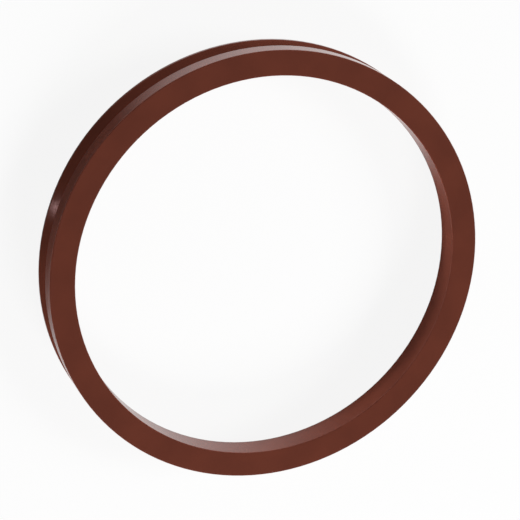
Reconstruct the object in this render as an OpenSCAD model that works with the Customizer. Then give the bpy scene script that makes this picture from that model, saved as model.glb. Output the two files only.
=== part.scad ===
// Axial shaft seal, moulded in one piece: a ring body that grips the shaft, a thin hinge,
// and a conical lip that runs against a flat counterface. The ring lies on its lip, with
// the flat back face up. Its section is drawn beside the axis and turned once round it.

/* [Bore] */
// Diameter of the bore as moulded, before the ring is stretched onto its shaft
bore_d = 108; // [90:0.5:180]
// Radius of the bore's edge on the lip side
nose_r = 0.8; // [0.3:0.05:1.2]

/* [Body] */
// Height of the section, from the bore to the outer band
section_h = 7; // [6:0.1:9]
// Width of the body along the bore, up to the corner that the lip grows from
body_w = 7.9; // [7:0.1:9]
// Width of the outer band, from the back face to the groove
band_w = 5.1; // [3.5:0.1:5.5]
// Radius of both edges of the back face
heel_r = 0.3; // [0.1:0.05:0.8]
// Radius of the outer band's edge at the groove
band_edge_r = 0.15; // [0.05:0.05:0.4]

/* [Lip] */
// Width of the free ring, from the back face to the tip of the lip
overall_w = 12.8; // [12:0.1:14]
// Thickness of the lip
lip_t = 1.2; // [0.8:0.05:1.4]
// Radius of the lip's tip
tip_r = 0.35; // [0.2:0.05:0.4]
// Radius of the lip's edge at the mouth of the groove
lip_edge_r = 0.15; // [0.05:0.05:0.3]

/* [Hinge] */
// Thickness of the hinge, from the bore to the bottom of the groove
hinge_t = 1.6; // [1.2:0.05:2.2]
// Radius at the bottom of the groove
root_r = 0.74; // [0.5:0.02:0.9]

/* [Hidden] */
$fn = 360;

bore_r = bore_d / 2;
outer_r = bore_r + section_h;
back_z = overall_w;
nose_z = overall_w - body_w;
band_z = overall_w - band_w;

// The lip's running face leaves the bore's corner and touches the tip's round.
tip = [outer_r - tip_r, tip_r];
nose = [bore_r, nose_z];
lip_angle = dip(nose, tip) + touch(nose, tip, tip_r);
face_z = nose_z - section_h * tan(lip_angle);
lip_edge_z = face_z + lip_t / cos(lip_angle);

// The groove's round bottom touches the back of the lip, and its upper flank runs from
// there to the edge of the outer band.
root = [bore_r + hinge_t + root_r,
        lip_edge_z + (section_h - hinge_t - root_r) * tan(lip_angle) + root_r / cos(lip_angle)];
band_edge = [outer_r, band_z];
flank_angle = dip(band_edge, root) - touch(band_edge, root, root_r);
groove_half = (lip_angle + flank_angle) / 2;
groove_lean = (flank_angle - lip_angle) / 2;
groove_corner = root - root_r / sin(groove_half) * [cos(groove_lean), sin(groove_lean)];

// Each corner of the section with its radius, anticlockwise from the tip of the lip.
SECTION = [
    [[outer_r, face_z], tip_r],
    [[outer_r, lip_edge_z], lip_edge_r],
    [groove_corner, root_r],
    [band_edge, band_edge_r],
    [[outer_r, back_z], heel_r],
    [[bore_r, back_z], heel_r],
    [nose, nose_r]
];

// How far the line from a to b drops below the plane of the ring.
function dip(a, b) = atan2(a.y - b.y, abs(b.x - a.x));

// Angle at a between the line to b and a line that touches a circle of radius r round b.
function touch(a, b, r) = asin(r / norm(b - a));

function unit(v) = v / norm(v);

function turn(a, b, c) =
    let (u = unit(b - a), w = unit(c - b)) atan2(u.x * w.y - u.y * w.x, u * w);

// How far from corner b a round of radius r starts.
function setback(a, b, c, r) = r * tan(abs(turn(a, b, c)) / 2);

// Centre of the round at corner b.
function centre(a, b, c, r) =
    b + norm([r, setback(a, b, c, r)]) * unit(unit(a - b) + unit(c - b));

module rounded_outline(corners) {
    n = len(corners);
    p = [for (c = corners) c[0]];
    r = [for (c = corners) c[1]];
    before = [for (i = [0:n - 1]) p[(i + n - 1) % n]];
    after = [for (i = [0:n - 1]) p[(i + 1) % n]];
    bend = [for (i = [0:n - 1]) turn(before[i], p[i], after[i])];
    ends = [for (i = [0:n - 1])
        let (s = setback(before[i], p[i], after[i], r[i]))
        each [p[i] + s * unit(before[i] - p[i]), p[i] + s * unit(after[i] - p[i])]];

    difference() {
        union() {
            polygon(ends);
            for (i = [0:n - 1])
                if (bend[i] > 0)
                    translate(centre(before[i], p[i], after[i], r[i])) circle(r[i]);
        }
        for (i = [0:n - 1])
            if (bend[i] < 0)
                translate(centre(before[i], p[i], after[i], r[i])) circle(r[i]);
    }
}

module seal_ring() {
    color([0.42, 0.21, 0.16])
        rotate_extrude()
            rounded_outline(SECTION);
}

seal_ring();
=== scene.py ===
from math import cos, radians, sin

import bpy
from mathutils import Matrix, Vector


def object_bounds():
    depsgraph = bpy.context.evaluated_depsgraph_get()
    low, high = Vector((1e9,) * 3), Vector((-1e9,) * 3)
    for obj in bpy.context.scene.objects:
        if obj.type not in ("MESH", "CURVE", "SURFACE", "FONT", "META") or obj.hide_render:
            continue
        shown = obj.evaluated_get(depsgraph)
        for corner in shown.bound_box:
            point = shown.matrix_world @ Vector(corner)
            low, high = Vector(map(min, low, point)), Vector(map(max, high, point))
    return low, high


# Looks of an axial shaft seal: one ring of brown rubber that lies on its lip, flat back up.
# The frame is in metres, with +Z up along the ring's axis and the floor at zero. Azimuths run
# from +X towards +Y, and the camera stands on the -Y side.

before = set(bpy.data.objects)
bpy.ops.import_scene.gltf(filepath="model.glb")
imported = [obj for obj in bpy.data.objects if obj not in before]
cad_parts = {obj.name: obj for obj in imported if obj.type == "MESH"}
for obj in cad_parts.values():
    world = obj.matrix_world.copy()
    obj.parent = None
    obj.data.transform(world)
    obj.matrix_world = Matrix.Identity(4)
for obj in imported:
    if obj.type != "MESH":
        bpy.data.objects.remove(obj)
cad_low, cad_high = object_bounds()
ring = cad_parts["seal_ring"]

# The camera looks down on the flat back. Its roll sets the ring in the picture as the
# photograph has it, where the ring stands on edge.
IMAGE_SIDE = 520
FACE_CENTRE_PIXEL = Vector((269.0, 269.4))
FOCAL_PIXELS = 2249
SENSOR_WIDTH_MM = 36
VIEW_DISTANCE = 0.610
VIEW_TILT = radians(26.9)
VIEW_ROLL = radians(135)

# The rubber. Its two browns lie round the mean colour of the flat back, and its gloss is a
# little warm.
BROWN_DARK = (0.107, 0.0288, 0.0181)
BROWN_LIGHT = (0.122, 0.0325, 0.0200)
REFRACTION = 1.5
GLOSS_TINT = (1, 0.6, 0.6, 1)
ROUGHNESS_LOW = 0.12
ROUGHNESS_HIGH = 0.18

# What varies over the rubber, in features to the metre, and how deep its relief is.
PATCHES = 90
SMEARS = 140
WAVES = 110
WAVE_DEPTH = 80e-6
MOULD_RINGS = 900
MOULD_RING_DEPTH = 10e-6
GRAIN = 4000
GRAIN_DEPTH = 4e-6

# Noise seldom leaves this range, so colours and roughness run from one end of it to the other.
NOISE_LOW = 0.35
NOISE_HIGH = 0.65

# The studio. In gloss the floor glows as a painted reflection: dark in a strip through the
# ring's centre, and growing white from the strip's edge outwards.
FLOOR_SIZE = 6
FLOOR_WHITE = 0.94
FLOOR_GLOW_SEEN = 0.9
FLOOR_GLOW_IN_STRIP = 0.02
STRIP_NORMAL_AZIMUTH = radians(28)
STRIP_HALF_WIDTH = 0.027
GLOW_FULL_FROM = 0.060
WHITE = (1, 1, 1, 1)
SKY_FILL = 0.02
HORIZON_TOP = 0.4


def add(tree, kind, **values):
    """A new node of that kind, with its properties and input values set by name."""
    node = tree.nodes.new(kind)
    for name, value in values.items():
        if name in node.inputs:
            node.inputs[name].default_value = value
        else:
            setattr(node, name, value)
    return node


def maths(tree, operation, *values):
    """A maths node on numbers or other nodes' outputs."""
    node = add(tree, "ShaderNodeMath", operation=operation)
    for slot, value in zip(node.inputs, values):
        if isinstance(value, bpy.types.NodeSocket):
            tree.links.new(value, slot)
        else:
            slot.default_value = value
    return node.outputs[0]


def noise(tree, where, scale, detail=2.0, dimensions="3D"):
    """Noise with `scale` features to the metre."""
    node = add(tree, "ShaderNodeTexNoise", noise_dimensions=dimensions, Scale=scale, Detail=detail)
    tree.links.new(where, node.inputs["Vector"])
    return node.outputs["Fac"]


def ramp(tree, factor, low, high):
    """From `low` to `high`, two triples, as the factor goes through the noise's range."""
    node = add(tree, "ShaderNodeMapRange", data_type="FLOAT_VECTOR")
    tree.links.new(factor, node.inputs["Vector"])
    # The four inputs after the vector bear the same names as those for plain numbers, so they
    # are counted from it and not looked up by name.
    first = node.inputs.find("Vector") + 1
    triples = ((NOISE_LOW,) * 3, (NOISE_HIGH,) * 3, low, high)
    for slot, triple in enumerate(triples, start=first):
        node.inputs[slot].default_value = triple
    return node.outputs["Vector"]


def across(tree, where):
    """Coordinates that only know how far a point is from the axis and how high it lies."""
    split = tree.nodes.new("ShaderNodeSeparateXYZ")
    tree.links.new(where, split.inputs[0])
    flat = tree.nodes.new("ShaderNodeCombineXYZ")
    tree.links.new(split.outputs["X"], flat.inputs["X"])
    tree.links.new(split.outputs["Y"], flat.inputs["Y"])
    radius = add(tree, "ShaderNodeVectorMath", operation="LENGTH")
    tree.links.new(flat.outputs[0], radius.inputs[0])
    section = tree.nodes.new("ShaderNodeCombineXYZ")
    tree.links.new(radius.outputs["Value"], section.inputs["X"])
    tree.links.new(split.outputs["Z"], section.inputs["Y"])
    return section.outputs[0]


def bump(tree, height, depth, below=None):
    """Raises the surface by `depth` metres where the height is 1, on top of the bump `below`."""
    node = add(tree, "ShaderNodeBump", Distance=depth)
    tree.links.new(height, node.inputs["Height"])
    if below is not None:
        tree.links.new(below, node.inputs["Normal"])
    return node.outputs["Normal"]


def relief(tree, where):
    """Slow waves, the faint rings that the turned mould has printed on the rubber, and a fine
    grain."""
    waves = bump(tree, noise(tree, where, WAVES, detail=1), WAVE_DEPTH)
    turned = noise(tree, across(tree, where), MOULD_RINGS, detail=3, dimensions="2D")
    rings = bump(tree, turned, MOULD_RING_DEPTH, waves)
    return bump(tree, noise(tree, where, GRAIN), GRAIN_DEPTH, rings)


def rubber():
    """Moulded rubber: satin, slightly uneven in colour and gloss, with a faint relief."""
    material = bpy.data.materials.new("brown_rubber")
    material.use_nodes = True
    tree = material.node_tree
    shader = tree.nodes["Principled BSDF"]
    shader.inputs["IOR"].default_value = REFRACTION
    shader.inputs["Specular Tint"].default_value = GLOSS_TINT

    where = tree.nodes.new("ShaderNodeTexCoord").outputs["Object"]
    brown = ramp(tree, noise(tree, where, PATCHES, detail=3), BROWN_DARK, BROWN_LIGHT)
    tree.links.new(brown, shader.inputs["Base Color"])

    smears = noise(tree, where, SMEARS, detail=4)
    roughness = ramp(tree, smears, (ROUGHNESS_LOW,) * 3, (ROUGHNESS_HIGH,) * 3)
    tree.links.new(roughness, shader.inputs["Roughness"])
    tree.links.new(relief(tree, where), shader.inputs["Normal"])
    return material


def rays(tree, seen, mirrored):
    """A factor that is `seen` for the camera's own rays and `mirrored` in gloss or glass."""
    path = tree.nodes.new("ShaderNodeLightPath")
    indirect = maths(tree, "MAXIMUM", path.outputs["Is Glossy Ray"], path.outputs["Is Transmission Ray"])
    share = maths(tree, "MULTIPLY", indirect, mirrored)
    return maths(tree, "MULTIPLY_ADD", path.outputs["Is Camera Ray"], seen, share)


def painted_reflection_glow(tree):
    """Painted reflection: how white the floor glows in gloss alone. The walls mirror the floor
    beside them, so this glow paints them pale at both ends of the arcs that the picture shows and dark
    between, at the strip."""
    off_strip = add(tree, "ShaderNodeVectorMath", operation="DOT_PRODUCT")
    off_strip.inputs[1].default_value = (cos(STRIP_NORMAL_AZIMUTH), sin(STRIP_NORMAL_AZIMUTH), 0)
    place = tree.nodes.new("ShaderNodeTexCoord").outputs["Object"]
    tree.links.new(place, off_strip.inputs[0])
    glow = add(tree, "ShaderNodeMapRange", interpolation_type="SMOOTHSTEP")
    glow.inputs["From Min"].default_value = STRIP_HALF_WIDTH
    glow.inputs["From Max"].default_value = GLOW_FULL_FROM
    glow.inputs["To Min"].default_value = FLOOR_GLOW_IN_STRIP
    tree.links.new(maths(tree, "ABSOLUTE", off_strip.outputs["Value"]), glow.inputs["Value"])
    return glow.outputs["Result"]


def floor_material():
    """Pale board: partly white by itself for the eye, so that the shadow on it stays soft. In gloss it
    glows outside a strip, as a painted reflection on the walls.
    """
    material = bpy.data.materials.new("floor")
    material.use_nodes = True
    tree = material.node_tree
    tree.nodes.clear()
    board = add(tree, "ShaderNodeBsdfDiffuse", Color=(FLOOR_WHITE, FLOOR_WHITE, FLOOR_WHITE, 1))
    glow = tree.nodes.new("ShaderNodeEmission")
    mix = tree.nodes.new("ShaderNodeMixShader")
    out = tree.nodes.new("ShaderNodeOutputMaterial")
    # The share seen in gloss is a painted reflection, set by the floor's position.
    tree.links.new(rays(tree, FLOOR_GLOW_SEEN, painted_reflection_glow(tree)), mix.inputs[0])
    tree.links.new(board.outputs[0], mix.inputs[1])
    tree.links.new(glow.outputs[0], mix.inputs[2])
    tree.links.new(mix.outputs[0], out.inputs["Surface"])
    return material


def floor():
    """The board that the ring lies on."""
    bpy.ops.mesh.primitive_plane_add(size=FLOOR_SIZE)
    plane = bpy.context.object
    plane.name = "floor"
    plane.data.materials.append(floor_material())


def sky():
    """White for the eye, in gloss only up to a low horizon, and else a faint fill."""
    world = bpy.data.worlds.new("studio")
    bpy.context.scene.world = world
    world.use_nodes = True
    tree = world.node_tree
    split = tree.nodes.new("ShaderNodeSeparateXYZ")
    tree.links.new(tree.nodes.new("ShaderNodeTexCoord").outputs["Generated"], split.inputs[0])
    backdrop = add(tree, "ShaderNodeMapRange", interpolation_type="SMOOTHSTEP")
    backdrop.inputs["From Max"].default_value = HORIZON_TOP
    backdrop.inputs["To Min"].default_value = 1
    backdrop.inputs["To Max"].default_value = 0
    tree.links.new(split.outputs["Z"], backdrop.inputs["Value"])
    strength = maths(tree, "MAXIMUM", rays(tree, 1, backdrop.outputs["Result"]), SKY_FILL)
    background = tree.nodes["Background"]
    background.inputs["Color"].default_value = WHITE
    tree.links.new(strength, background.inputs["Strength"])


def softbox(name, azimuth, elevation, distance, height, width, power, aim=0, in_gloss=False, only=None):
    """A lamp that faces the point `aim` metres up the axis from that azimuth and elevation, in
    degrees. It shows in gloss only if asked, and lights only the collection `only`, if given."""
    lamp = bpy.data.lights.new(name, "AREA")
    lamp.shape = "RECTANGLE"
    lamp.size = height
    lamp.size_y = width
    lamp.energy = power
    box = bpy.data.objects.new(name, lamp)
    box.visible_camera = False
    box.visible_glossy = in_gloss
    box.light_linking.receiver_collection = only
    bpy.context.scene.collection.objects.link(box)
    turn = Matrix.Rotation(radians(azimuth), 4, "Z") @ Matrix.Rotation(radians(90 - elevation), 4, "Y")
    box.matrix_world = Matrix.Translation((0, 0, aim)) @ turn @ Matrix.Translation((0, 0, distance))


def lamps():
    """Two keys on the ring's far side leave the walls that the picture shows in the ring's own
    shadow. The strips and the card then light the ends of those walls and the bore, but not the
    floor, whose shadow they would wash out. They are named by where they lie in the picture."""
    ring_only = bpy.data.collections.new("ring_only")
    ring_only.objects.link(ring)
    softbox("key_right", azimuth=136, elevation=33, distance=2.4, height=1.0, width=1.0, power=46)
    softbox("key_below", azimuth=68, elevation=30, distance=1.2, height=0.4, width=0.4, power=12)
    softbox("glint_left", azimuth=-47, elevation=33.5, distance=1.0, height=0.05, width=0.04, power=0.085,
            in_gloss=True)
    softbox("strip_below_left", azimuth=12, elevation=6, distance=1.2, height=0.1, width=0.6, power=21,
            only=ring_only)
    softbox("strip_above", azimuth=-150, elevation=6, distance=1.2, height=0.1, width=0.6, power=15,
            only=ring_only)
    # The card stands in the middle of the bore and faces its wall to the right.
    softbox("bore_card", azimuth=292, elevation=0, distance=0, height=0.01, width=0.04, power=0.014,
            aim=cad_high.z / 2, only=ring_only)


def camera():
    """Stands where the face's centre falls on its pixel, tilted off the axis and rolled."""
    data = bpy.data.cameras.new("camera")
    data.sensor_width = SENSOR_WIDTH_MM
    data.lens = FOCAL_PIXELS / IMAGE_SIDE * SENSOR_WIDTH_MM
    eye = bpy.data.objects.new("camera", data)
    bpy.context.scene.collection.objects.link(eye)
    turn = Matrix.Rotation(VIEW_TILT, 3, "X") @ Matrix.Rotation(VIEW_ROLL, 3, "Z")
    off_axis = (FACE_CENTRE_PIXEL - Vector((IMAGE_SIDE / 2, IMAGE_SIDE / 2))) / FOCAL_PIXELS
    to_face = Vector((off_axis.x, -off_axis.y, -1)) * VIEW_DISTANCE
    face_centre = Vector((0, 0, cad_high.z))
    eye.matrix_world = Matrix.LocRotScale(face_centre - turn @ to_face, turn, None)
    bpy.context.scene.camera = eye


ring.material_slots[0].material = rubber()
floor()
sky()
lamps()
camera()
bpy.context.scene.view_settings.view_transform = "Standard"
